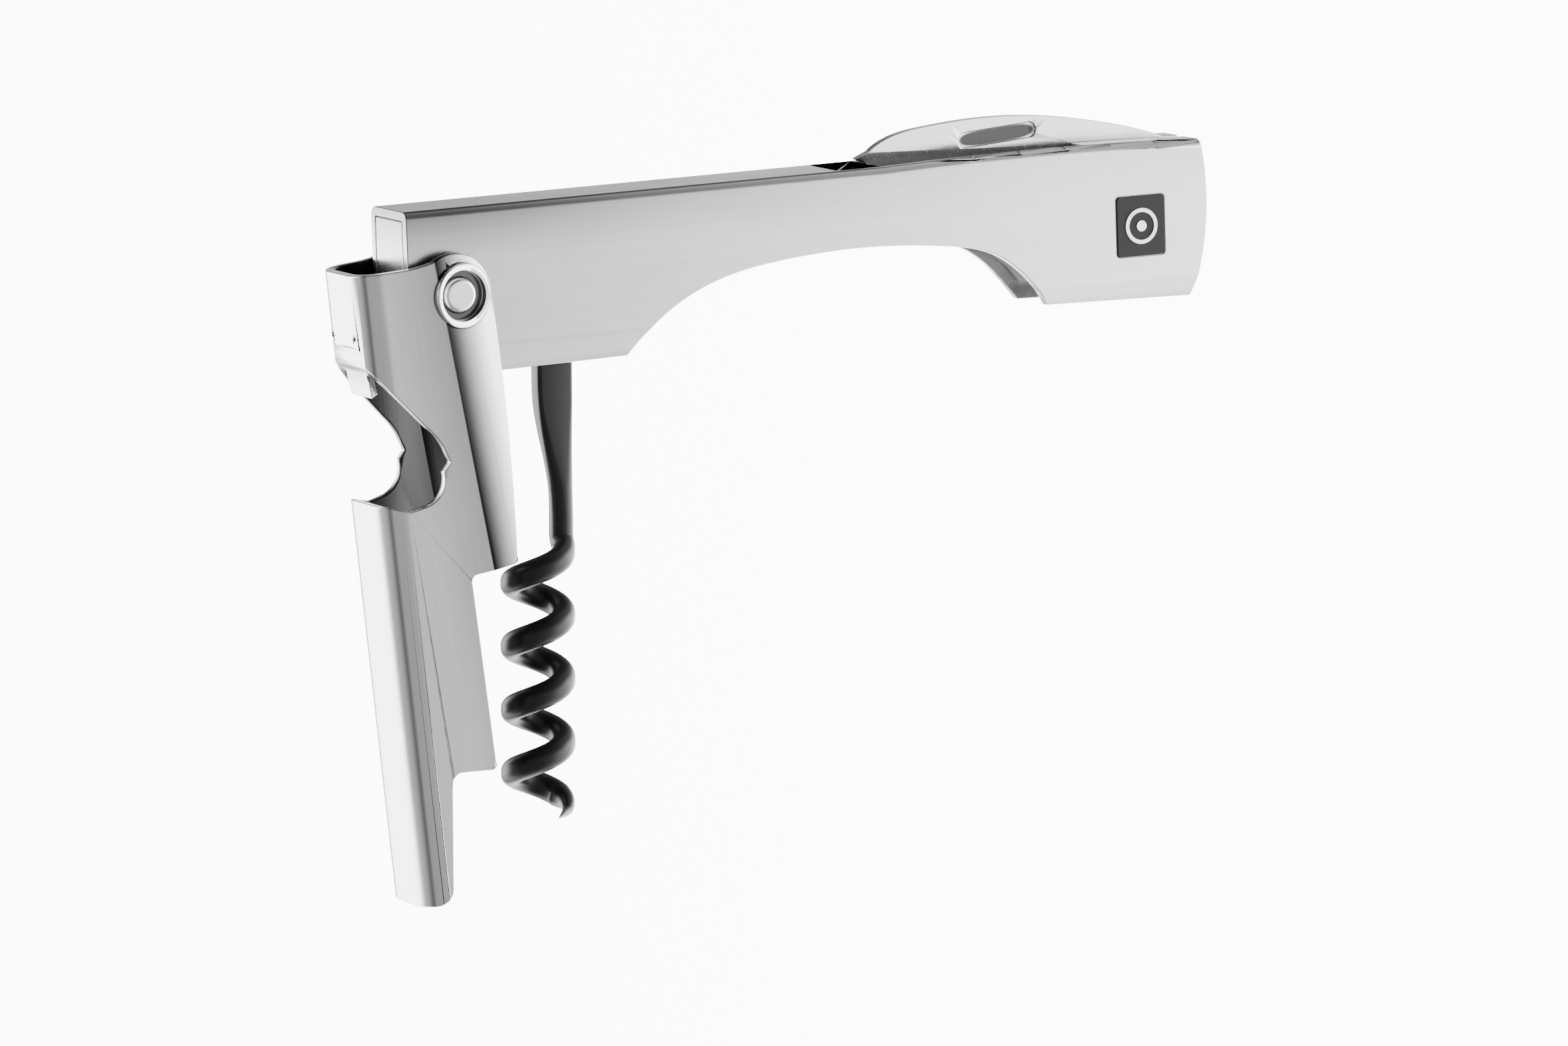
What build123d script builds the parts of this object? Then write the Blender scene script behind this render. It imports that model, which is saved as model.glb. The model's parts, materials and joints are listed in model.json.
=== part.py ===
"""Waiter's lever corkscrew: folded sheet handle, channel lever, coated worm and foil blade.

Frame: +Z up along the worm's axis, X along the handle towards the blade end, -Y is the badge side.
The origin is on the worm's axis, level with its tip. Sizes are in millimetres.
"""

import os
from math import atan2, cos, pi, radians, sin, tan

from build123d import *

os.makedirs("parts", exist_ok=True)

# driving dimensions
handle_tilt = 2.0          # handle rises to the right, degrees
lever_lean = 6.6           # lever leans from the vertical, degrees
worm_length = 62.7         # hinge centre to tip
worm_hinge = (15.4, -4.6)  # from the lever pivot, along and across the handle
blade_hinge = (99.8, 5.2)
sheet = 1.2                # folded sheet of the handle and the lever
handle_half = 5.2          # half the handle's width
spine_z = 10.6             # top of the spine at the lever end
bend_z = -6.4              # where the lower edges start to bend in
bevel_run = 1.3            # how far the lower edges bend in
bevel_rise = 4.0
left_x = -6.4
right_x = 106.3
liner = 0.8
side_gap = 0.3             # between the handle's walls and the lever's
web_v = -13.4              # outer face of the lever's web, from the pivot
lever_corner = 4.0
corner_half = 6.6          # half the lever's width where the web's bends end
flare = 7.9                # its walls spread from there, degrees
ridge_top = (-3.5, 6.0)    # the ridge where the walls turn in again, across and along the lever
ridge_low = (0.1, -37.0)
bush_radius = 4.05
bush_lean = 12.0           # the rings lean towards the blade end, degrees
bush_barrel = 3.6
bush_bore = 3.2
bush_face = 5.6            # inner end of the bushes, from the middle plane
pin_radius = 2.3
pin_half = 6.9
running_fit = 0.05
wire_radius = 1.35
helix_radius = 3.35        # centre of the wire
helix_pitch = 8.0
helix_height = 32.0        # four whole turns
point_length = 5.0
eye_width = 4.8
eye_offset = 2.0           # hinge centre from the worm's axis
blade_half = 0.6

inner_half = handle_half - sheet
liner_face = inner_half - liner
liner_top = spine_z - sheet

# ---- planes ----
tilt = radians(handle_tilt)
lean = radians(lever_lean)
pivot_x = eye_offset - (worm_hinge[0] * cos(tilt) - worm_hinge[1] * sin(tilt))
pivot_z = worm_length - (worm_hinge[0] * sin(tilt) + worm_hinge[1] * cos(tilt))
pivot = (pivot_x, 0, pivot_z)
side = Plane(origin=pivot, x_dir=(cos(tilt), 0, sin(tilt)), z_dir=(0, -1, 0))
cross = Plane(origin=pivot, x_dir=(0, 1, 0), z_dir=(cos(tilt), 0, sin(tilt)))
lever_side = Plane(origin=pivot, x_dir=(cos(lean), 0, sin(lean)), z_dir=(0, -1, 0))
lever_cross = Plane(origin=pivot, x_dir=(cos(lean), 0, sin(lean)), z_dir=(-sin(lean), 0, cos(lean)))
worm_side = Plane(origin=(eye_offset, 0, worm_length), x_dir=(1, 0, 0), z_dir=(0, -1, 0))


def finish(piece, name):
    piece.part.label = name
    export_step(piece.part, f"parts/{name}.step")


# ---- handle shell: two sections, outside and inside, trimmed by the side outline ----
def section_points(half, top, spread):
    """Half-open channel section with its lower edges bent in, closed below for cutting."""
    low = bend_z - bevel_rise - 1
    inward = half - bevel_run * (bend_z - low) / bevel_rise
    return [(-half, spread), (-half, bend_z), (-inward, low), (inward, low), (half, bend_z), (half, spread)]


arch_left = (23.8, -9.9)
arch_right = (83.0, -8.6)

with BuildPart() as cavity:
    with BuildSketch(cross.offset(left_x - 1)):
        with BuildLine():
            Polyline(*section_points(inner_half, spine_z, spine_z + 2), close=True)
        make_face()
    extrude(amount=right_x - left_x + 2)
    with BuildSketch(side):
        with BuildLine():
            top = Polyline((left_x - 1, spine_z - sheet), (60, spine_z + 0.35 - sheet))
            arc = ThreePointArc(top @ 1, (88, spine_z + 0.8 - sheet), (right_x + 1, spine_z + 0.4 - sheet))
            Polyline(arc @ 1, (right_x + 1, bend_z - 6), (left_x - 1, bend_z - 6), top @ 0)
        make_face()
    extrude(amount=handle_half, both=True, mode=Mode.INTERSECT)

with BuildPart() as handle_shell:
    with BuildSketch(cross.offset(left_x - 1)):
        with BuildLine():
            Polyline(*section_points(handle_half, spine_z, spine_z + 3), close=True)
        shape = make_face()
        bends = shape.vertices().filter_by(lambda v: abs(v.Y - bend_z) < 0.01)
        fillet(bends, radius=5.0)
    extrude(amount=right_x - left_x + 2)
    with BuildSketch(side):
        with BuildLine():
            top = Polyline((left_x, spine_z), (60, spine_z + 0.35))
            crown = ThreePointArc(top @ 1, (88, spine_z + 0.8), (right_x - 0.7, spine_z + 0.4))
            end = ThreePointArc(crown @ 1, (right_x, 2.0), (right_x - 2.3, -9.1))
            low_right = Line(end @ 1, arch_right)
            rise = Spline(
                arch_right, (80.3, -5.1), (75.8, -1.6), (68.2, 0.25), (57.5, 1.0),
                (46.0, 0.45), (36.8, -1.2), (30.2, -4.1), arch_left,
            )
            low_left = Line(arch_left, (1.5, -10.3))
            nose = ThreePointArc(low_left @ 1, (-4.6, -7.0), (left_x, 0))
            Line(nose @ 1, top @ 0)
        make_face()
    extrude(amount=handle_half, both=True, mode=Mode.INTERSECT)
    spine_edges = handle_shell.edges().filter_by(
        lambda e: side.to_local_coords(e.center()).Y > spine_z - 1 and abs(e.center().Y) > handle_half - 0.1
    )
    fillet(spine_edges, radius=1.1)
    add(cavity.part, mode=Mode.SUBTRACT)
    with BuildSketch(side):
        Circle(pin_radius + running_fit)
    extrude(amount=handle_half + 1, both=True, mode=Mode.SUBTRACT)
    with BuildSketch(cross.offset(54.0)):
        with Locations((0, spine_z)):
            Rectangle(2 * inner_half - 0.1, 5)
    extrude(amount=35.0, mode=Mode.SUBTRACT)
    with BuildSketch(cross.offset(88.0)):
        with Locations((0, spine_z)):
            Rectangle(1.8, 5)
    extrude(amount=25.0, mode=Mode.SUBTRACT)
    with BuildSketch(side.offset(handle_half - 0.2)):
        with Locations((96.5, 0.55)):
            RectangleRounded(7.0, 7.8, 0.5)
    extrude(amount=1, mode=Mode.SUBTRACT)
finish(handle_shell, "handle_shell")

# ---- inner frame: blocks, liners, spring ----
with BuildPart() as pivot_block:
    with BuildSketch(side):
        with BuildLine():
            Polyline((left_x, spine_z), (9.0, spine_z), (9.0, -8.8), (2.0, -9.6))
            ThreePointArc((2.0, -9.6), (-4.4, -6.6), (left_x, 0))
            Line((left_x, 0), (left_x, spine_z))
        make_face()
    extrude(amount=handle_half, both=True)
    add(cavity.part, mode=Mode.INTERSECT)
    with BuildSketch(side):
        Circle(pin_radius + running_fit)
    extrude(amount=handle_half, both=True, mode=Mode.SUBTRACT)
finish(pivot_block, "pivot_block")

with BuildPart() as tail_block:
    with BuildSketch(side):
        with BuildLine():
            Polyline((87.0, -4.6), (right_x - 1.6, -4.6), (right_x - 2.4, -8.6), (87.0, -8.2), close=True)
        make_face()
    extrude(amount=2.6, both=True)
finish(tail_block, "tail_block")

rivet_radius = 0.9
rivet_places = [(14.0, 7.2), (50.0, 7.0), (88.0, -1.5)]
spring_pins = [(12.5, 3.6), (38.0, 3.6)]
spring_pin_radius = 0.6

with BuildPart() as front_liner:
    with BuildSketch(side.offset(liner_face)) as liner_sketch:
        with BuildLine():
            top = Polyline((9.3, bend_z), (9.3, liner_top - 0.2), (58, liner_top), (right_x - 1.5, liner_top + 0.1))
            Polyline(top @ 1, (right_x - 1.7, bend_z), (83.4, bend_z), (81.6, -4.2), (76.8, -0.3), (69, 1.5),
                     (57.5, 2.1), (46, 1.6), (36.4, 0.0), (29.0, -3.0), (26.0, bend_z), top @ 0)
        make_face()
        with Locations(worm_hinge, blade_hinge):
            Circle(1.0, mode=Mode.SUBTRACT)
        with Locations(*rivet_places):
            Circle(rivet_radius, mode=Mode.SUBTRACT)
        with Locations(*spring_pins, (103.2, -3.9)):
            Circle(spring_pin_radius, mode=Mode.SUBTRACT)
    extrude(amount=liner)
finish(front_liner, "front_liner")

with BuildPart() as rear_liner:
    add(front_liner.part)
    mirror(about=Plane.XZ, mode=Mode.REPLACE)
finish(rear_liner, "rear_liner")

with BuildPart() as back_spring:
    with BuildSketch(side):
        with BuildLine():
            under = ThreePointArc((9.3, 2.8), (46, 2.1), (92.0, 2.7))
            Polyline(under @ 1, (93.6, 3.0), (93.6, 4.6))
            over = ThreePointArc((93.6, 4.6), (46, 4.9), (9.3, 4.6))
            Line(over @ 1, under @ 0)
        make_face()
        with Locations(*spring_pins):
            Circle(spring_pin_radius, mode=Mode.SUBTRACT)
    extrude(amount=1.5, both=True)
finish(back_spring, "back_spring")


def pin(name, places, radius, half_length, plane=side):
    with BuildPart() as piece:
        with BuildSketch(plane.offset(-half_length)):
            with Locations(*places):
                Circle(radius)
        extrude(amount=2 * half_length)
    finish(piece, name)


def spacers(name, place, radius, bore, near, far):
    """A matching pair of thick washers, one each side of the middle plane."""
    with BuildPart() as piece:
        for start in (near, -far):
            with BuildSketch(side.offset(start)):
                with Locations(place):
                    Circle(radius)
                    Circle(bore, mode=Mode.SUBTRACT)
            extrude(amount=far - near)
    finish(piece, name)


pin("liner_rivets", rivet_places, rivet_radius, inner_half)
pin("spring_pins", spring_pins, spring_pin_radius, inner_half)
pin("blade_stop_pin", [(103.2, -3.9)], spring_pin_radius, inner_half)
pin("worm_pivot_pin", [worm_hinge], 1.0, inner_half)
pin("blade_pivot_pin", [blade_hinge], 1.0, inner_half)
spacers("worm_spacers", worm_hinge, 2.4, 1.0, wire_radius + 0.1, liner_face)
spacers("blade_spacers", blade_hinge, 3.2, 1.0, blade_half + 0.1, liner_face)
spacers("lever_washers", (0, 0), 3.6, pin_radius + running_fit, handle_half, handle_half + side_gap - 0.1)

with BuildPart() as lever_pivot_pin:
    with BuildSketch(side.offset(-pin_half)):
        Circle(pin_radius)
    extrude(amount=2 * pin_half)
    ends = lever_pivot_pin.edges().filter_by(GeomType.CIRCLE)
    fillet(ends, radius=0.7)
finish(lever_pivot_pin, "lever_pivot_pin")

# ---- worm: eye, straight shank, right-handed helix, ground point ----
rise_angle = atan2(helix_pitch, 2 * pi * helix_radius)
helix_base = point_length * sin(rise_angle)
helix_top = helix_base + helix_height
with BuildPart() as worm:
    with BuildSketch(worm_side.offset(-wire_radius)):
        with BuildLine():
            Polyline((-eye_width / 2, 0), (-eye_width / 2, -11.0), (0.1, -21.5), (2.2, -21.5),
                     (eye_width / 2, -11.0), (eye_width / 2, 0))
            ThreePointArc((eye_width / 2, 0), (0, eye_width / 2), (-eye_width / 2, 0))
        make_face()
        Circle(1.0 + running_fit, mode=Mode.SUBTRACT)
    extrude(amount=2 * wire_radius)
    with BuildSketch(Plane.XY.offset(helix_top)):
        with Locations((helix_radius, 0)):
            Circle(wire_radius)
    extrude(amount=worm_length - helix_top - 12.0)
    with BuildLine():
        turn = Helix(pitch=helix_pitch, height=helix_height, radius=helix_radius, center=(0, 0, helix_base))
    with BuildSketch(Plane(origin=turn @ 1, z_dir=turn % 1)):
        Circle(wire_radius)
    sweep(path=turn, is_frenet=True)
    with Locations((helix_radius, 0, helix_top)):
        Sphere(wire_radius)
    with BuildSketch(Plane(origin=turn @ 0, z_dir=-(turn % 0))):
        Circle(wire_radius)
    extrude(amount=point_length, taper=13)
finish(worm, "worm")

# ---- blade ----
blade_back = [
    (60.2, 12.5), (62.6, 13.9), (68.5, 15.1), (76, 15.6), (84, 15.3), (93, 13.9), (99.5, 12.3), (103.2, 10.9),
]
with BuildPart() as blade:
    with BuildSketch(side.offset(-blade_half)):
        with BuildLine():
            back = Spline(*blade_back)
            Line(back @ 1, (104.6, 8.0))
            heel = ThreePointArc((104.6, 8.0), (102.6, 1.1), (95.2, 3.4))
            Polyline(heel @ 1, (93.8, 7.6), (88.0, 8.3))
            edge = ThreePointArc((88.0, 8.3), (74.0, 8.6), (62.0, 10.2))
            Polyline(edge @ 1, (58.2, 11.7), back @ 0)
        make_face()
        with Locations(blade_hinge):
            Circle(1.0 + running_fit, mode=Mode.SUBTRACT)
    extrude(amount=2 * blade_half)
    with BuildSketch(side.offset(blade_half - 0.25)):
        with Locations(Location((78.6, 13.2, 0), (0, 0, 4.0))):
            SlotOverall(11.2, 2.0)
    extrude(amount=1, mode=Mode.SUBTRACT)
finish(blade, "blade")

# ---- lever: folded channel, trimmed by its side outline, notched for crown caps ----
ridge_width = 8.3
strip_drop = 1.45          # the strip outside the ridge curves in by this much
strip_middle = 0.39        # share of the drop reached half way
inner_drop = 0.72


def wall_out(v):
    """Outer face of a flared wall, from the middle plane, at a distance across the lever."""
    return corner_half + (v - web_v - lever_corner) * tan(radians(flare))


def wall_in(v):
    return wall_out(v) - sheet / cos(radians(flare))


def ridge_plane(face):
    start = lever_side.from_local_coords((ridge_top[0], ridge_top[1], face(ridge_top[0])))
    stop = lever_side.from_local_coords((ridge_low[0], ridge_low[1], face(ridge_low[0])))
    down = (stop - start).normalized()
    across = lever_side.x_dir - down * lever_side.x_dir.dot(down)
    return Plane(origin=start, x_dir=across.normalized(), z_dir=down), (stop - start).length


outer_ridge, ridge_length = ridge_plane(wall_out)
inner_ridge, inner_length = ridge_plane(wall_in)

with BuildPart() as strip_cut:
    with BuildSketch(outer_ridge):
        with BuildLine():
            middle = (ridge_width / 2, -strip_drop * strip_middle)
            slope = ThreePointArc((0, 0), middle, (ridge_width, -strip_drop))
            Polyline(slope @ 1, (ridge_width, 4), (0, 4), (0, 0))
        make_face()
    extrude(amount=ridge_length)

far_edge = ridge_width + 3
with BuildPart() as strip_inside:
    with BuildSketch(inner_ridge):
        with BuildLine():
            far_drop = inner_drop * far_edge / ridge_width
            Polyline((0, 0), (far_edge, -far_drop), (far_edge, 4), (0, 4), close=True)
        make_face()
    extrude(amount=inner_length)

with BuildPart() as channel_space:
    with BuildSketch(lever_cross.offset(6)) as space:
        with BuildLine():
            web_in = web_v + sheet
            Polyline((web_in, -wall_in(web_in)), (8, -wall_in(8)), (8, wall_in(8)), (web_in, wall_in(web_in)),
                     close=True)
        make_face()
        fillet(space.vertices().group_by(Axis.X)[0], radius=lever_corner - sheet)
    extrude(amount=-84)
    add(strip_inside.part, mode=Mode.SUBTRACT)
    add(mirror(strip_inside.part, about=Plane.XZ, mode=Mode.PRIVATE), mode=Mode.SUBTRACT)

# where the strip passes the pivot: how far it has dropped there, and the seat of the rings
pivot_run = -(ridge_top[0] + (ridge_low[0] - ridge_top[0]) * ridge_top[1] / (ridge_top[1] - ridge_low[1]))
bend_rate = 2 * strip_drop * (1 - 2 * strip_middle) / ridge_width**2
start_rate = strip_drop / ridge_width - bend_rate * ridge_width
pivot_drop = start_rate * pivot_run + bend_rate * pivot_run**2
seat_height = wall_out(-pivot_run) - pivot_drop - 0.2
seat_normal = Vector(0, -1, 0) * cos(radians(bush_lean)) + lever_side.x_dir * sin(radians(bush_lean))
seat = Plane(origin=lever_side.from_local_coords((0, 0, seat_height)), x_dir=(sin(lean), 0, -cos(lean)),
             z_dir=seat_normal)

with BuildPart() as seat_cut:
    with BuildSketch(seat):
        Circle(bush_radius)
    extrude(amount=3)

with BuildPart() as lever:
    with BuildSketch(lever_cross.offset(5.5)) as channel:
        with BuildLine():
            Polyline((web_v, -wall_out(web_v)), (7, -wall_out(7)), (7, wall_out(7)), (web_v, wall_out(web_v)),
                     close=True)
        make_face()
        fillet(channel.vertices().group_by(Axis.X)[0], radius=lever_corner)
    extrude(amount=-82)
    with BuildSketch(lever_side):
        with BuildLine():
            top = Polyline((web_v - 1, 4.3), (-7.0, 4.3))
            lobe = ThreePointArc(top @ 1, (-5.2, 4.45), (-3.6, 4.75))
            crown = ThreePointArc(lobe @ 1, (2.7, 3.9), (4.35, 0))
            edge = ThreePointArc(crown @ 1, (4.55, -13.0), (3.5, -33.6))
            heel = ThreePointArc(edge @ 1, (3.3, -34.2), (2.7, -34.4))
            step = Polyline(heel @ 1, (-2.2, -34.8))
            root = ThreePointArc(step @ 1, (-2.8, -35.1), (-3.0, -35.8))
            shin = Polyline(root @ 1, (-2.5, -58.8))
            toe = ThreePointArc(shin @ 1, (-2.7, -59.3), (-3.2, -59.5))
            ledge = Polyline(toe @ 1, (-7.0, -59.2))
            hollow = ThreePointArc(ledge @ 1, (-7.9, -59.6), (-8.3, -60.4))
            tongue = Line(hollow @ 1, (-9.6, -73.2))
            tip = ThreePointArc(tongue @ 1, (-10.4, -75.0), (-12.0, -75.6))
            Polyline(tip @ 1, (web_v - 1, -75.6), (web_v - 1, 4.3))
        make_face()
    extrude(amount=12, both=True, mode=Mode.INTERSECT)
    add(strip_cut.part, mode=Mode.SUBTRACT)
    add(mirror(strip_cut.part, about=Plane.XZ, mode=Mode.PRIVATE), mode=Mode.SUBTRACT)
    add(channel_space.part, mode=Mode.SUBTRACT)
    with BuildSketch(lever_side):
        with BuildLine():
            notch = Polyline((web_v - 2, -4.6), (-13.3, -4.9), (-12.9, -7.4), (-10.4, -10.8), (-6.6, -15.6))
            waist = ThreePointArc(notch @ 1, (-5.3, -17.3), (-4.5, -19.2))
            nib = Polyline(waist @ 1, (-4.1, -20.3), (-5.1, -21.4))
            bowl = ThreePointArc(nib @ 1, (-5.9, -24.2), (-8.2, -25.4))
            Polyline(bowl @ 1, (-9.9, -25.7), (-12.4, -24.8), (web_v - 2, -24.2), notch @ 0)
        make_face()
    extrude(amount=12, both=True, mode=Mode.SUBTRACT)
    with BuildSketch(lever_side):
        with BuildLine():
            Polyline((web_v, -3.8), (web_v + 0.9, -6.2), (-11.9, -11.4), (-11.1, -11.0), (-12.0, -5.6),
                     (-12.2, -3.8), close=True)
        make_face()
    extrude(amount=3.2, both=True)
    with BuildSketch(lever_side):
        Circle(bush_barrel)
    extrude(amount=12, both=True, mode=Mode.SUBTRACT)
    add(seat_cut.part, mode=Mode.SUBTRACT)
    add(mirror(seat_cut.part, about=Plane.XZ, mode=Mode.PRIVATE), mode=Mode.SUBTRACT)
finish(lever, "lever")

with BuildPart() as lever_bush_front:
    with BuildSketch(seat):
        Circle(bush_radius)
    extrude(amount=0.6)
    fillet(lever_bush_front.edges().filter_by(GeomType.CIRCLE).sort_by(Axis.Y)[0], radius=0.28)
    with BuildSketch(lever_side.offset(bush_face)):
        Circle(bush_barrel)
    extrude(amount=seat_height + 0.3 - bush_face)
    with BuildSketch(lever_side.offset(bush_face + 0.5)):
        Circle(bush_bore)
    extrude(amount=4, mode=Mode.SUBTRACT)
    with BuildSketch(lever_side):
        Circle(pin_radius + running_fit)
    extrude(amount=12, mode=Mode.SUBTRACT)
finish(lever_bush_front, "lever_bush_front")

with BuildPart() as lever_bush_rear:
    add(lever_bush_front.part)
    mirror(about=Plane.XZ, mode=Mode.REPLACE)
finish(lever_bush_rear, "lever_bush_rear")

# ---- badge ----
with BuildPart() as badge_plate:
    with BuildSketch(side.offset(handle_half - 0.2)):
        with Locations((96.5, 0.55)):
            RectangleRounded(6.9, 7.7, 0.45)
    extrude(amount=0.4)
finish(badge_plate, "badge_plate")

with BuildPart() as badge_emblem:
    with BuildSketch(side.offset(handle_half + 0.2)):
        with Locations((96.5, 0.55)):
            Circle(2.3)
            Circle(1.8, mode=Mode.SUBTRACT)
            Circle(0.7)
    extrude(amount=0.12)
finish(badge_emblem, "badge_emblem")
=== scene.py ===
import json
import math

import bmesh
import bpy
import numpy as np
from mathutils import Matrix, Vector


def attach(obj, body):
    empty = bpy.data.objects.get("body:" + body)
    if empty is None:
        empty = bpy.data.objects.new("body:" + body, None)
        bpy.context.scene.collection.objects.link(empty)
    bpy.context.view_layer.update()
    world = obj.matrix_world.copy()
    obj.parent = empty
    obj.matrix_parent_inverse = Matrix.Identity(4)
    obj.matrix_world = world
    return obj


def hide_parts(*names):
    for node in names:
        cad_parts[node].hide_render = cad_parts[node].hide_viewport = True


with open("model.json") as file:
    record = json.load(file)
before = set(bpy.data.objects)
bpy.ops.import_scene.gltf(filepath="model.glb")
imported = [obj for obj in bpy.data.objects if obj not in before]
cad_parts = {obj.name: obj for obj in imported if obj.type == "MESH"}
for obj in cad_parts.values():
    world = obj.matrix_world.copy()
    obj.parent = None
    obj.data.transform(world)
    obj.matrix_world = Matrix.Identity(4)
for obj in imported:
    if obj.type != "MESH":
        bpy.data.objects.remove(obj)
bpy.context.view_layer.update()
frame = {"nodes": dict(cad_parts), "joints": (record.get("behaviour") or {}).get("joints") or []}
mm = 0.001
touching = 2e-6  # metres; points closer than this are one point
finest = 1e-7  # metres; how exactly a cut snaps to a point, and the shortest edge that is kept
joints = {joint["name"]: joint for joint in frame["joints"]}
leverPivot = np.array(joints["lever_hinge"]["pos_m"])
wormPivot = np.array(joints["worm_hinge"]["pos_m"])
print("frame loaded")

# directions in the side plane: along and across the handle, across and up the lever
handleTilt = math.radians(2.0)
leverLean = math.radians(6.6)


def sideAxes(angle):
    return np.array([math.cos(angle), 0, math.sin(angle)]), np.array([-math.sin(angle), 0, math.cos(angle)])


handleAlong, handleUp = sideAxes(handleTilt)
leverAcross, leverUp = sideAxes(leverLean)


class Signal:
    # wraps one socket, so that expressions on signals add Math nodes
    def __init__(self, finish, socket):
        self.finish = finish
        self.socket = socket

    def maths(self, operation, *others):
        node = self.finish.node("ShaderNodeMath", {"operation": operation}, [self, *others])
        return Signal(self.finish, node.outputs[0])

    def __add__(self, other):
        return self.maths("ADD", other)

    def __radd__(self, other):
        return self.maths("ADD", other)

    def __sub__(self, other):
        return self.maths("SUBTRACT", other)

    def __rsub__(self, other):
        return (self * -1) + other

    def __mul__(self, other):
        return self.maths("MULTIPLY", other)

    def __rmul__(self, other):
        return self.maths("MULTIPLY", other)

    def clamp(self):
        return self.maths("MINIMUM", 1.0).maths("MAXIMUM", 0.0)

    def between(self, low, high):
        # 0 at low, 1 at high, straight between
        return ((self - low) * (1.0 / (high - low))).clamp()


class Finish:
    # one material: a Principled surface and the nodes that feed it
    def __init__(self, name):
        self.material = bpy.data.materials.new(name)
        self.material.use_nodes = True
        self.tree = self.material.node_tree
        self.tree.nodes.clear()
        self.shader = self.node("ShaderNodeBsdfPrincipled")
        output = self.node("ShaderNodeOutputMaterial")
        self.tree.links.new(self.shader.outputs[0], output.inputs[0])
        self.coordinates = self.node("ShaderNodeTexCoord").outputs["Object"]

    def node(self, kind, settings=None, sockets=None):
        made = self.tree.nodes.new(kind)
        for name, value in (settings or {}).items():
            setattr(made, name, value)
        pairs = sockets.items() if isinstance(sockets, dict) else enumerate(sockets or [])
        for key, value in pairs:
            self.feed(made.inputs[key], value)
        return made

    def feed(self, socket, value):
        if isinstance(value, Signal):
            value = value.socket
        if isinstance(value, bpy.types.NodeSocket):
            self.tree.links.new(value, socket)
        else:
            socket.default_value = value

    def signal(self, node, output=0):
        return Signal(self, node.outputs[output])

    def part(self, axis):
        # one Object coordinate in millimetres
        split = self.node("ShaderNodeSeparateXYZ", None, [self.coordinates])
        return self.signal(split, "XYZ".index(axis)) * 1000.0

    def along(self, direction, origin=(0, 0, 0)):
        # distance in millimetres along a direction, from an origin given in metres
        dot = self.node("ShaderNodeVectorMath", {"operation": "DOT_PRODUCT"},
                        [self.coordinates, tuple(direction)])
        return (self.signal(dot, "Value") - float(np.dot(direction, origin))) * 1000.0

    def stretched(self, angle, sizes, detail=2.0, rough=0.5, seed=0.0):
        # noise in a frame turned by angle about Y, with its own grain length along each axis in millimetres
        turned = self.node("ShaderNodeMapping", {"vector_type": "TEXTURE"},
                           {"Vector": self.coordinates, "Rotation": (0, -angle, 0),
                            "Location": (seed, seed, seed), "Scale": tuple(size * mm for size in sizes)})
        noise = self.node("ShaderNodeTexNoise", None, {"Vector": turned.outputs[0], "Scale": 1.0,
                                                       "Detail": detail, "Roughness": rough})
        return self.signal(noise)

    def mixed(self, factor, first, second):
        mix = self.node("ShaderNodeMix", {"data_type": "RGBA"})
        self.feed(mix.inputs[0], factor)
        self.feed(mix.inputs[6], first if isinstance(first, bpy.types.NodeSocket) else (*first, 1))
        self.feed(mix.inputs[7], second if isinstance(second, bpy.types.NodeSocket) else (*second, 1))
        return mix.outputs[2]

    def bump(self, height, distance, strength=1.0):
        node = self.node("ShaderNodeBump", None,
                         {"Height": height, "Distance": distance * mm, "Strength": strength})
        self.feed(self.shader.inputs["Normal"], node.outputs[0])

    def constants(self, levels):
        for name, level in levels.items():
            self.shader.inputs[name].default_value = level


steelLooks = {
    # angle is the brushing direction in the side plane; tones are base colours; grain is the relief in mm
    "handle": {"angle": handleTilt, "dark": (0.55, 0.55, 0.555), "light": (0.66, 0.66, 0.665), "rough": 0.24,
               "spread": 0.10, "grain": 0.006, "metal": 1.0},
    "lever": {"angle": leverLean + math.pi / 2, "dark": (0.50, 0.50, 0.505), "light": (0.60, 0.60, 0.605),
              "rough": 0.22, "spread": 0.10, "grain": 0.006, "metal": 1.0},
    "blade": {"angle": handleTilt + math.pi / 2, "dark": (0.62, 0.62, 0.63), "light": (0.72, 0.72, 0.73),
              "rough": 0.22, "spread": 0.08, "grain": 0.004, "metal": 1.0},
    "inner": {"angle": handleTilt, "dark": (0.36, 0.36, 0.365), "light": (0.48, 0.48, 0.485), "rough": 0.40,
              "spread": 0.12, "grain": 0.008, "metal": 0.55},
}


brushing = {
    # grain lengths in mm along, through and across the brushing, detail, roughness of the noise, offset
    "fine": ((14.0, 0.09, 0.09), 3.0, 0.6),
    "coarse": ((30.0, 0.5, 0.5), 2.0, 0.5, 0.013),
    "clouds": ((16.0, 9.0, 7.0), 3.0, 0.55, 0.031),
    "hair": ((9.0, 0.16, 0.16), 1.0, 0.4, 0.047),
    "hairTurn": 0.35,
}
shadeTone = (0.005, 0.005, 0.0052)  # what a full painted shade turns the metal to
satinLevel = 0.22  # specular level of the dark films


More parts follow.
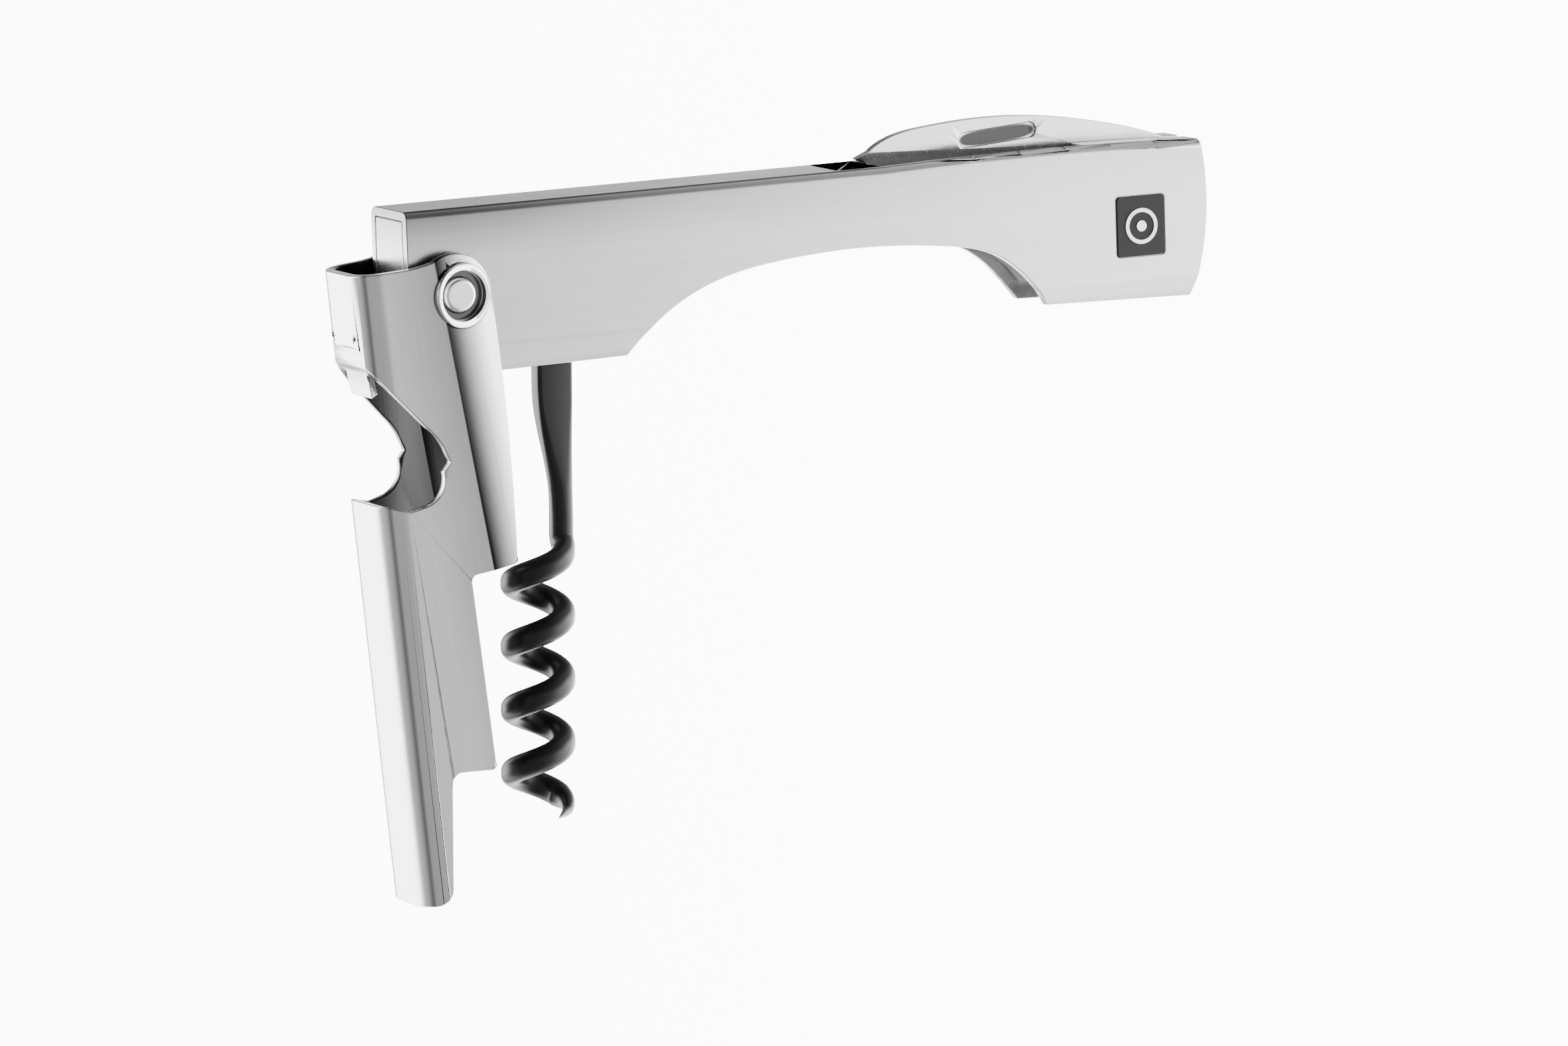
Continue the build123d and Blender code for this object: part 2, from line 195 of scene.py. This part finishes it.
def brushedSteel(name, look, shade=None):
    # tone = fine lines + broad lines + clouds; roughness follows the clouds; relief from lines and scratches
    finish = Finish(name)
    fine = finish.stretched(look["angle"], *brushing["fine"])
    coarse = finish.stretched(look["angle"], *brushing["coarse"])
    clouds = finish.stretched(look["angle"], *brushing["clouds"])
    hair = finish.stretched(look["angle"] + brushing["hairTurn"], *brushing["hair"])
    scratches = hair.between(0.70, 0.76)
    tone = (fine * 0.45 + coarse * 0.35 + clouds * 0.35).between(0.30, 0.85)
    colour = finish.mixed(tone, look["dark"], look["light"])
    # painted shade: where a shade is given, it darkens the colour towards shadeTone
    if shade:
        colour = finish.mixed(shade(finish), colour, shadeTone)
    finish.feed(finish.shader.inputs["Base Color"], colour)
    roughness = clouds * look["spread"] + fine * (look["spread"] * 0.6) + scratches * 0.08
    finish.feed(finish.shader.inputs["Roughness"], roughness + (look["rough"] - look["spread"] * 0.8))
    finish.bump(fine + coarse * 0.5 - scratches * 0.6, look["grain"], 0.7)
    finish.constants({"Metallic": look["metal"]})
    return finish.material


def polishedSteel(name, shade=None):
    # bright turned metal, tone and roughness from one rubbed noise
    finish = Finish(name)
    marks = finish.stretched(0.0, (2.0, 2.0, 2.0), 4.0, 0.6)
    colour = finish.mixed(marks, (0.62, 0.62, 0.63), (0.78, 0.78, 0.79))
    # painted shade: where a shade is given, it darkens the colour towards shadeTone
    if shade:
        colour = finish.mixed(shade(finish), colour, shadeTone)
    finish.feed(finish.shader.inputs["Base Color"], colour)
    finish.feed(finish.shader.inputs["Roughness"], marks * 0.14 + 0.10)
    finish.bump(marks, 0.005, 0.5)
    finish.constants({"Metallic": 1.0})
    return finish.material


def blackCoating():
    # satin black film with a little orange peel, rubbed to grey metal at the ground point
    finish = Finish("blackCoating")
    peel = finish.stretched(0.0, (0.5, 0.5, 0.5), 2.0, 0.5)
    patches = finish.stretched(0.0, (3.0, 3.0, 3.0), 3.0, 0.6, 0.02)
    bare = 1 - (finish.part("Z") + patches * 2.0).between(0.8, 2.4)
    dark = finish.mixed(patches, (0.005, 0.005, 0.0055), (0.012, 0.012, 0.013))
    finish.feed(finish.shader.inputs["Base Color"], finish.mixed(bare, dark, (0.42, 0.42, 0.43)))
    finish.feed(finish.shader.inputs["Metallic"], bare)
    finish.feed(finish.shader.inputs["Roughness"], patches * 0.14 + 0.30)
    finish.bump(peel, 0.010, 0.6)
    finish.constants({"Specular IOR Level": satinLevel})
    return finish.material


def badgeEnamel():
    # near-black satin film with a fine speckle
    finish = Finish("badgeEnamel")
    speckle = finish.stretched(0.0, (0.25, 0.25, 0.25), 2.0, 0.6)
    colour = finish.mixed(speckle, (0.006, 0.006, 0.007), (0.016, 0.016, 0.018))
    finish.feed(finish.shader.inputs["Base Color"], colour)
    finish.feed(finish.shader.inputs["Roughness"], speckle * 0.15 + 0.32)
    finish.bump(speckle, 0.003, 0.5)
    finish.constants({"Specular IOR Level": satinLevel})
    return finish.material


def slipPlastic():
    # dark low-friction washer with a mottled tone
    finish = Finish("slipPlastic")
    mottled = finish.stretched(0.0, (0.6, 0.6, 0.6), 2.0, 0.5)
    colour = finish.mixed(mottled, (0.03, 0.03, 0.032), (0.06, 0.06, 0.062))
    finish.feed(finish.shader.inputs["Base Color"], colour)
    finish.feed(finish.shader.inputs["Roughness"], mottled * 0.2 + 0.45)
    finish.bump(mottled, 0.005, 0.5)
    return finish.material


# The shades below are dark tones painted on the metal in place of dark reflections and shadow. They are fixed
# to the piece, so they stay in any light. Pairs are the two ends of a fade, in mm.
handleShade = {
    "left": 0.34, "length": 80.0, "top": 0.46, "topRise": (4.0, 10.2), "topLeft": 0.75, "topRight": 0.25,
    "inside": 0.35, "wall": (4.2, 4.8), "spine": (9.6, 9.9),
}
leverFold = {
    # mm across and along the lever; the wall spreads outside the ridge's left and turns in to its right
    "top": (-3.5, 6.0), "low": (0.1, -37.0), "half": 6.6, "web": -13.4, "corner": 4.0, "flare": 7.9,
    "start": 0.0978, "bend": 0.00926, "crisp": 0.12,
    # the painted shade: over the strip, before the ridge, down to the foot, and inside but not on the tongue
    "edge": (-0.20, 0.05), "fadeStart": -0.5, "reach": 5.6, "fall": 2.2, "foot": (-35.9, -35.3),
    "before": 0.42, "beforeReach": 7.0, "beforeEnd": 0.1, "inside": 0.94, "wall": (0.55, 0.80),
    "webIn": (0.8, 1.4), "tongueHalf": (3.3, 3.4), "tongueOut": (-10.9, -10.6), "tongueLow": (-12.2, -12.0),
    "tongueHigh": (-4.6, -4.4),
}
bladeNick = {
    "middle": (78.6, 13.2), "length": 11.2, "width": 2.0, "slant": 4.0, "rim": (1.15, 0.75), "dark": 0.93,
}
bushShade = {"radius": (3.25, 3.05), "dark": 0.9}


def wallShade(finish):
    # painted shade: the larger of: a fade to the lever end plus a fade to the spine, and a flat tone inside
    # the shell
    shade = handleShade
    run = finish.along(handleAlong, leverPivot)
    rise = finish.along(handleUp, leverPivot)
    depth = finish.part("Y").maths("ABSOLUTE")
    left = 1 - run.between(0.0, shade["length"])
    top = rise.between(*shade["topRise"])
    inside = (1 - depth.between(*shade["wall"])) * (1 - rise.between(*shade["spine"])) * shade["inside"]
    outside = left * shade["left"] + top * (left * shade["topLeft"] + shade["topRight"]) * shade["top"]
    return outside.maths("MAXIMUM", inside)


def ridgeLine():
    # the ridge's upper end and its unit direction, in mm across and up the lever
    start, stop = np.array(leverFold["top"]), np.array(leverFold["low"])
    return start, (stop - start) / np.linalg.norm(stop - start)


def foldShade(finish):
    # painted shade, the largest of: full at the ridge and falling by a power over the strip,
    # a fade up to the ridge, and a flat tone inside the channel, found as the depth below the wall's outer
    # face
    fold = leverFold
    start, down = ridgeLine()
    normal = leverAcross * -down[1] + leverUp * down[0]
    origin = leverPivot + (leverAcross * start[0] + leverUp * start[1]) * mm
    across = finish.along(leverAcross, leverPivot)
    height = finish.along(leverUp, leverPivot)
    beyond = finish.along(normal, origin)
    right = beyond.maths("MAXIMUM", 0.0)
    slope = math.tan(math.radians(fold["flare"]))
    outer = (across - fold["web"] - fold["corner"]) * slope + fold["half"] \
        - right * (slope + fold["start"]) - right * right * fold["bend"]
    depth = outer - finish.part("Y").maths("ABSOLUTE")
    fade = 1 - beyond.between(fold["fadeStart"], fold["reach"]).maths("POWER", fold["fall"])
    crease = beyond.between(*fold["edge"]) * fade * height.between(*fold["foot"])
    before = (beyond.between(-fold["beforeReach"], 0.0)
              * (1 - beyond.between(0.0, fold["beforeEnd"])) * fold["before"])
    tongue = (1 - finish.part("Y").maths("ABSOLUTE").between(*fold["tongueHalf"])) \
        * (1 - across.between(*fold["tongueOut"])) \
        * height.between(*fold["tongueLow"]) * (1 - height.between(*fold["tongueHigh"]))
    webIn = [fold["web"] + away for away in fold["webIn"]]
    inside = depth.between(*fold["wall"]) * across.between(*webIn) * (1 - tongue)
    return (crease.maths("MAXIMUM", before)).maths("MAXIMUM", inside * fold["inside"])


def nickShade(finish):
    # painted shade in the nail nick's recess: run to the fourth power + rise squared, each as a share of the
    # oval's half size, is under 1 in the nick; this marks both faces of the blade, and only the badge side's
    # face is cut
    along, up = sideAxes(handleTilt + math.radians(bladeNick["slant"]))
    middle = bladeNick["middle"]
    centre = leverPivot + (handleAlong * middle[0] + handleUp * middle[1]) * mm
    run = finish.along(along, centre) * (2.0 / bladeNick["length"])
    rise = finish.along(up, centre) * (2.0 / bladeNick["width"])
    return (run * run * run * run + rise * rise).between(*bladeNick["rim"]) * bladeNick["dark"]


def bushRecessShade(finish):
    # painted shade: full within a radius of the hinge's axis, which on a bush is its ring-shaped recess
    run = finish.along(handleAlong, leverPivot)
    rise = finish.along(handleUp, leverPivot)
    radius = (run * run + rise * rise).maths("SQRT")
    return radius.between(*bushShade["radius"]) * bushShade["dark"]


finishes = {
    "handle": brushedSteel("handleSteel", steelLooks["handle"], wallShade),
    "lever": brushedSteel("leverSteel", steelLooks["lever"], foldShade),
    "blade": brushedSteel("bladeSteel", steelLooks["blade"], nickShade),
    "inner": brushedSteel("innerSteel", steelLooks["inner"]),
    "polished": polishedSteel("polishedSteel"),
    "bush": polishedSteel("bushSteel", bushRecessShade),
    "black": blackCoating(),
    "badge": badgeEnamel(),
    "washer": slipPlastic(),
}
print("finishes made")

nodeFinish = {
    "handle_shell": "handle", "pivot_block": "handle", "tail_block": "inner", "front_liner": "inner",
    "rear_liner": "inner", "back_spring": "inner", "liner_rivets": "polished", "spring_pins": "polished",
    "blade_stop_pin": "polished", "worm_pivot_pin": "polished", "blade_pivot_pin": "polished",
    "lever_pivot_pin": "polished", "worm_spacers": "inner", "blade_spacers": "inner",
    "lever_washers": "washer", "worm": "black", "blade": "blade", "lever": "lever",
    "lever_bush_front": "bush", "lever_bush_rear": "bush", "badge_plate": "badge", "badge_emblem": "polished",
}


def setFinish(piece, name):
    piece.data.materials.clear()
    piece.data.materials.append(finishes[name])


for nodeName, finishName in nodeFinish.items():
    setFinish(frame["nodes"][nodeName], finishName)


def placed(mesh, name):
    mesh.polygons.foreach_set("use_smooth", np.full(len(mesh.polygons), True))
    piece = bpy.data.objects.new(name, mesh)
    bpy.context.scene.collection.objects.link(piece)
    return piece


def gridPiece(name, grids, wraps=()):
    # each grid is rows x columns x 3 in metres; a wrapped grid joins its last column to its first
    vertices, faces, start = [], [], 0
    for place, grid in enumerate(grids):
        rows, columns = grid.shape[:2]
        index = start + np.arange(rows * columns).reshape(rows, columns)
        if place in wraps:
            index = np.concatenate([index, index[:, :1]], axis=1)
        quads = np.stack([index[:-1, :-1], index[1:, :-1], index[1:, 1:], index[:-1, 1:]], axis=-1)
        vertices.append(grid.reshape(-1, 3))
        faces.append(quads.reshape(-1, 4))
        start += rows * columns
    mesh = bpy.data.meshes.new(name)
    mesh.from_pydata(np.concatenate(vertices), [], np.concatenate(faces).tolist())
    sealed(mesh)
    return placed(mesh, name)


def sealed(mesh):
    # joins doubled points, drops empty faces and turns every face outwards
    work = bmesh.new()
    work.from_mesh(mesh)
    bmesh.ops.remove_doubles(work, verts=work.verts, dist=touching)
    bmesh.ops.dissolve_degenerate(work, edges=work.edges, dist=finest)
    bmesh.ops.recalc_face_normals(work, faces=work.faces)
    work.to_mesh(mesh)
    work.free()


roundings = {
    # node: edge radius in mm, body, record slot
    "handle_shell": (0.16, "handle", "satin_steel"),
    "pivot_block": (0.30, "handle", "satin_steel"),
    "lever": (0.17, "lever", "lever_steel"),
    "blade": (0.10, "blade", "blade_steel"),
    "back_spring": (0.12, "handle", "spring_steel"),
    "tail_block": (0.20, "handle", "spring_steel"),
    "badge_plate": (0.06, "handle", "badge_dark"),
}
rounding = {"segments": 3, "angle": 32.0, "flat": 0.05, "weight": 100}  # angles in degrees
bladeGrind = {"start": (59.0, 12.4), "stop": (89.2, 11.2), "depth": 3.0, "edge": 0.12, "slack": 0.01}


def meshPoints(mesh):
    points = np.empty(3 * len(mesh.vertices), np.float32)
    mesh.vertices.foreach_get("co", points)
    return points.reshape(-1, 3).astype(float)


def evenTriangles(work):
    # well-shaped triangles, so that rounding its edges doesn't tear the lever's wall
    bmesh.ops.triangulate(work, faces=work.faces, ngon_method="BEAUTY")


def creasedEdges(mesh):
    # an edge stays crisp when both its ends are within the crisp distance of the ridge's line
    start, down = ridgeLine()
    offset = (meshPoints(mesh) - leverPivot) / mm
    across, up = offset @ leverAcross - start[0], offset @ leverUp - start[1]
    near = np.abs(across * down[1] - up * down[0]) < leverFold["crisp"]
    ends = np.empty(2 * len(mesh.edges), np.int32)
    sharp = np.empty(len(mesh.edges), bool)
    mesh.edges.foreach_get("vertices", ends)
    mesh.edges.foreach_get("use_edge_sharp", sharp)
    mesh.edges.foreach_set("use_edge_sharp", sharp | near[ends.reshape(-1, 2)].all(axis=1))


def grindLine():
    # both ends of the grind line in metres, its unit direction and the unit direction across it
    start, stop = [leverPivot + (handleAlong * along + handleUp * up) * mm
                   for along, up in (bladeGrind["start"], bladeGrind["stop"])]
    run = stop - start
    run /= np.linalg.norm(run)
    return start, stop, run, np.array([-run[2], 0, run[0]])


def grindCuts(work):
    # cuts the blade's faces along the grind line and square across its end
    start, stop, run, across = grindLine()
    for point, normal in ((start, across), (stop, run)):
        bmesh.ops.bisect_plane(work, geom=work.verts[:] + work.edges[:] + work.faces[:], dist=finest,
                               plane_co=point.tolist(), plane_no=normal.tolist())
    bmesh.ops.triangulate(work, faces=work.faces)


def groundEdge(mesh):
    # below the grind line: thickness x (1 - depth below the line / grind depth), down to the edge's share
    start, stop, run, across = grindLine()
    points = meshPoints(mesh)
    offset = (points - start) / mm
    depth = -(offset @ across)
    length = np.linalg.norm(stop - start) / mm
    ground = (depth > bladeGrind["slack"]) & (offset @ run < length - bladeGrind["slack"])
    points[ground, 1] *= np.maximum(bladeGrind["edge"], 1 - depth[ground] / bladeGrind["depth"])
    mesh.vertices.foreach_set("co", points.astype(np.float32).ravel())
    mesh.update()


cuts = {"lever": evenTriangles, "blade": grindCuts}
shapes = {"lever": creasedEdges, "blade": groundEdge}


def roundedCopy(node):
    # the merged CAD mesh with flat faces joined, cut and shaped where it needs it, its sharp edges rounded
    radius, body, slot = roundings[node]
    work = bmesh.new()
    work.from_mesh(frame["nodes"][node].data)
    bmesh.ops.remove_doubles(work, verts=work.verts, dist=touching)
    bmesh.ops.dissolve_limit(work, angle_limit=math.radians(rounding["flat"]), verts=work.verts,
                             edges=work.edges)
    if node in cuts:
        cuts[node](work)
    bmesh.ops.recalc_face_normals(work, faces=work.faces)
    mesh = bpy.data.meshes.new(node + "Soft")
    work.to_mesh(mesh)
    work.free()
    if node in shapes:
        shapes[node](mesh)
    piece = placed(mesh, node + "Soft")
    bevel = piece.modifiers.new("rounding", "BEVEL")
    bevel.width = radius * mm
    bevel.segments = rounding["segments"]
    bevel.limit_method = "ANGLE"
    bevel.angle_limit = math.radians(rounding["angle"])
    bevel.use_clamp_overlap = False
    bevel.miter_outer = "MITER_ARC"
    weighting = piece.modifiers.new("weighting", "WEIGHTED_NORMAL")
    weighting.keep_sharp = True
    weighting.weight = rounding["weight"]
    setFinish(piece, nodeFinish[node])
    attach(piece, body)
    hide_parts(node)


for node in roundings:
    roundedCopy(node)
print("rounded pieces made")

wormLooks = {
    # mm; depths are below the hinge
    "wire": 1.45, "tall": 1.65, "helix": 3.25, "pitch": 8.0, "start": 28.9, "ease": 3.6, "point": 5.6,
    "width": 4.8, "flat": 1.35, "straight": 11.0, "taper": 21.5, "corner": 0.55, "hole": 1.05, "collar": 3.0,
    "sink": 0.02, "lead": 3.0, "blend": 8.0, "grind": 0.8, "lean": 0.75, "edge": 0.2,
    # rows down the shank and the helix, rows the taper is averaged over, steps in a corner and round the eye
    "shankRows": 90, "helixRows": 900, "softRows": 21, "cornerSteps": 9, "eyeSteps": 96,
}


def roundedOutline(halfWidth, halfDepth, corner, steps):
    # one closed outline per row: quarter circles about the four inner corners
    turn = np.linspace(0, 2 * math.pi, 4 * steps, endpoint=False) + math.pi / (4 * steps)
    signX = np.sign(np.cos(turn))
    signY = np.sign(np.sin(turn))
    width = signX * (halfWidth - corner)[:, None] + corner[:, None] * np.cos(turn)
    depth = signY * (halfDepth - corner)[:, None] + corner[:, None] * np.sin(turn)
    return width, depth


def softened(values):
    # twice the mean over a few rows, its two ends left as they are
    soft = np.ones(wormLooks["softRows"]) / wormLooks["softRows"]
    half = wormLooks["softRows"] // 2
    for _ in range(2):
        values[half:-half] = np.convolve(values, soft, "valid")
    return values


def wormShank():
    # section swept down the axis line, its angle easing into the helix: turn rate 0 -> 2 pi / pitch
    look = wormLooks
    hinge = wormPivot / mm
    lead = hinge[2] - look["start"] + look["lead"]
    top = hinge[2] - look["collar"] + look["sink"]
    height = np.concatenate([np.linspace(top, lead, look["shankRows"], endpoint=False),
                             np.linspace(lead, 0, look["helixRows"])])
    depth = hinge[2] - height
    share = np.clip((depth - look["start"]) / look["ease"] + 0.5, 0, 1)
    rate = (2 * math.pi / look["pitch"]) * (share**2 * (3 - 2 * share))
    angle = -np.concatenate([[0], np.cumsum((rate[1:] + rate[:-1]) / 2 * np.diff(depth))])
    taper = [look["straight"], look["taper"]]
    left = softened(np.interp(depth, taper, [hinge[0] - look["width"] / 2, look["helix"] - look["wire"]]))
    right = softened(np.interp(depth, taper, [hinge[0] + look["width"] / 2, look["helix"] + look["wire"]]))
    reach = (left + right) / 2
    centre = np.stack([reach * np.cos(angle), reach * np.sin(angle), height], axis=1)
    along = np.gradient(centre, axis=0)
    along /= np.linalg.norm(along, axis=1)[:, None]
    outward = np.stack([np.cos(angle), np.sin(angle), 0 * angle], axis=1)
    outward -= along * np.sum(outward * along, axis=1)[:, None]
    outward /= np.linalg.norm(outward, axis=1)[:, None]
    sideways = np.cross(along, outward)
    travelled = np.concatenate([[0], np.cumsum(np.linalg.norm(np.diff(centre, axis=0), axis=1))])
    toPoint = travelled[-1] - travelled
    grind = np.clip(toPoint / look["point"], 0, 1) ** look["grind"]
    halfWidth = (right - left) / 2
    fuller = np.clip((depth - look["taper"] + look["blend"] / 2) / look["blend"], 0, 1)
    halfDepth = look["flat"] + (look["tall"] - look["flat"]) * fuller
    rounder = np.clip((depth - look["straight"]) / (look["taper"] - look["straight"]), 0, 1)
    corner = np.minimum(look["corner"] + (look["wire"] - look["corner"]) * rounder, halfWidth)
    width, thick = roundedOutline(halfWidth * grind, halfDepth * grind, corner * grind, look["cornerSteps"])
    # the point is ground from the inside, so it keeps to the outer wall of the helix
    shift = look["wire"] * (1 - grind) * look["lean"]
    rows = centre[:, None] + outward[:, None] * (width + shift[:, None])[..., None] \
        + sideways[:, None] * thick[..., None]
    cap = np.repeat(rows[:1].mean(axis=1, keepdims=True), rows.shape[1], axis=1)
    return np.concatenate([cap, rows]) * mm


def wormEye():
    # a softened rectangle turned about the hinge: round above it, square shoulders below it, drilled through
    look = wormLooks
    hinge = wormPivot / mm
    turn = np.linspace(0, 2 * math.pi, look["eyeSteps"], endpoint=False)
    half = look["width"] / 2
    square = np.minimum(half / np.maximum(np.abs(np.cos(turn)), 1e-6),
                        look["collar"] / np.maximum(-np.sin(turn), 1e-6))
    outer = np.where(np.sin(turn) >= 0, half, square)
    inner = np.full(len(turn), look["hole"])
    thick, edge = look["flat"], look["edge"]
    profile = [(inner, -thick + edge), (inner + edge, -thick), (outer - edge, -thick), (outer, -thick + edge),
               (outer, thick - edge), (outer - edge, thick), (inner + edge, thick), (inner, thick - edge),
               (inner, -thick + edge)]
    rings = [np.stack([hinge[0] + out * np.cos(turn), 0 * turn + away, hinge[2] + out * np.sin(turn)], axis=1)
             for out, away in profile]
    return np.stack(rings) * mm


def makeWorm():
    piece = gridPiece("wormWire", [wormShank(), wormEye()], wraps=(0, 1))
    setFinish(piece, "black")
    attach(piece, "worm")
    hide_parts("worm")


makeWorm()
print("worm made")

studio = {
    # mm and degrees; aim and look are measured from the lever's pivot
    "aim": (51.45, 0.0, -62.86), "look": (48.05, 0.0, -32.06),
    "azimuth": -27.0, "elevation": 9.0, "distance": 1300.0, "lens": 235.0, "sensor": 36.0,
    # glow is the room's emission strength, radius is in metres, bare is the strength of the world beyond it
    "glow": 12.0, "radius": 3.0, "around": 96, "upwards": 49, "bare": 0.2,
    # brightness round the room, by degrees to the right of straight ahead of the badge side
    "round": [(-180, 0.08), (-173, 0.08), (-163, 0.90), (-125, 0.85), (-105, 0.09), (-70, 0.055),
              (-10, 0.060), (4, 0.105), (22, 0.12), (30, 0.30), (42, 0.62), (80, 0.70), (125, 1.0),
              (166, 1.0), (176, 0.08), (180, 0.08)],
    # factor by the sine of the height: floor, horizon, ceiling
    "height": [(-1.0, 0.45), (-0.45, 0.60), (-0.25, 1.0), (0.20, 1.0), (0.45, 0.14), (0.90, 0.10),
               (1.0, 0.16)],
    # the right half of the far wall is dim above the horizon, which the top of the spine mirrors
    "dim": 0.90, "dimFrom": 115.0, "dimTo": 135.0, "dimLow": 0.0, "dimHigh": 0.09,
    "lilac": (0.93, 0.92, 0.97), "lilacFrom": 151.0, "lilacTo": 158.0,
    "lamps": {
        # name: place in metres, width, height, watts
        "leftSoft": ((-1.2, 0.45, 0.45), 0.8, 0.8, 14.0),
        "rightSoft": ((1.3, -0.35, 0.50), 0.7, 0.8, 12.0),
    },
}


def facing(spot, target):
    return (target - Vector(spot)).to_track_quat("-Z", "Y").to_euler()


def makeCamera(look):
    azimuth, elevation = math.radians(studio["azimuth"]), math.radians(studio["elevation"])
    back = Vector((math.sin(azimuth) * math.cos(elevation), -math.cos(azimuth) * math.cos(elevation),
                   math.sin(elevation)))
    place = Vector(leverPivot) + Vector(studio["aim"]) * mm + back * studio["distance"] * mm
    data = bpy.data.cameras.new("camera")
    data.lens = studio["lens"]
    data.sensor_width = studio["sensor"]
    data.clip_start, data.clip_end = 0.01, 50.0
    camera = bpy.data.objects.new("camera", data)
    camera.location = place
    camera.rotation_euler = facing(place, look)
    bpy.context.scene.collection.objects.link(camera)
    bpy.context.scene.camera = camera


def makeRoom():
    # a sphere about the object: radius x (cos height cos across, cos height sin across, sin height)
    across = np.linspace(0, 2 * math.pi, studio["around"], endpoint=False)
    height = np.linspace(-math.pi / 2, math.pi / 2, studio["upwards"])[:, None]
    room = np.stack([np.cos(height) * np.cos(across), np.cos(height) * np.sin(across),
                     np.sin(height) + 0 * across], axis=-1) * studio["radius"]
    backdrop = gridPiece("backdrop", [room], wraps=(0,))
    backdrop.data.materials.append(roomGlow())


def makeLamps(look):
    world = bpy.data.worlds.new("studio")
    world.use_nodes = True
    world.node_tree.nodes["Background"].inputs[0].default_value = (1.0, 1.0, 1.0, 1)
    world.node_tree.nodes["Background"].inputs[1].default_value = studio["bare"]
    bpy.context.scene.world = world
    for name, (spot, width, height, watts) in studio["lamps"].items():
        light = bpy.data.lights.new(name, "AREA")
        light.shape = "RECTANGLE"
        light.size, light.size_y = width, height
        light.energy = watts
        lamp = bpy.data.objects.new(name, light)
        lamp.location = spot
        lamp.rotation_euler = facing(spot, look)
        bpy.context.scene.collection.objects.link(lamp)


def stepped(signal, table):
    # straight lines between the table's points
    level = signal * 0.0 + table[0][1]
    for (start, before), (stop, after) in zip(table, table[1:]):
        level = level + signal.between(start, stop) * (after - before)
    return level


def roomGlow():
    # brightness = level for the direction round the room x factor for its height, faintly lilac to the left
    finish = Finish("roomGlow")
    scale = mm / studio["radius"]
    right, forward, up = [finish.part(axis) * scale for axis in "XYZ"]
    turned = right.maths("ARCTAN2", forward * -1) * (180 / math.pi)
    dim = turned.between(studio["dimFrom"], studio["dimTo"]) * up.between(studio["dimLow"], studio["dimHigh"])
    level = stepped(turned, studio["round"]) * stepped(up, studio["height"]) * (1 - dim * studio["dim"])
    lilac = turned.between(studio["lilacFrom"], studio["lilacTo"])
    tint = finish.mixed(lilac, (1.0, 1.0, 1.0), studio["lilac"])
    glow = finish.node("ShaderNodeVectorMath", {"operation": "SCALE"}, {"Vector": tint, "Scale": level})
    finish.feed(finish.shader.inputs["Emission Color"], glow.outputs[0])
    finish.constants({"Emission Strength": studio["glow"], "Base Color": (0, 0, 0, 1), "Roughness": 1.0})
    return finish.material


studioLook = Vector(leverPivot) + Vector(studio["look"]) * mm
makeCamera(studioLook)
makeRoom()
makeLamps(studioLook)
print("studio made")
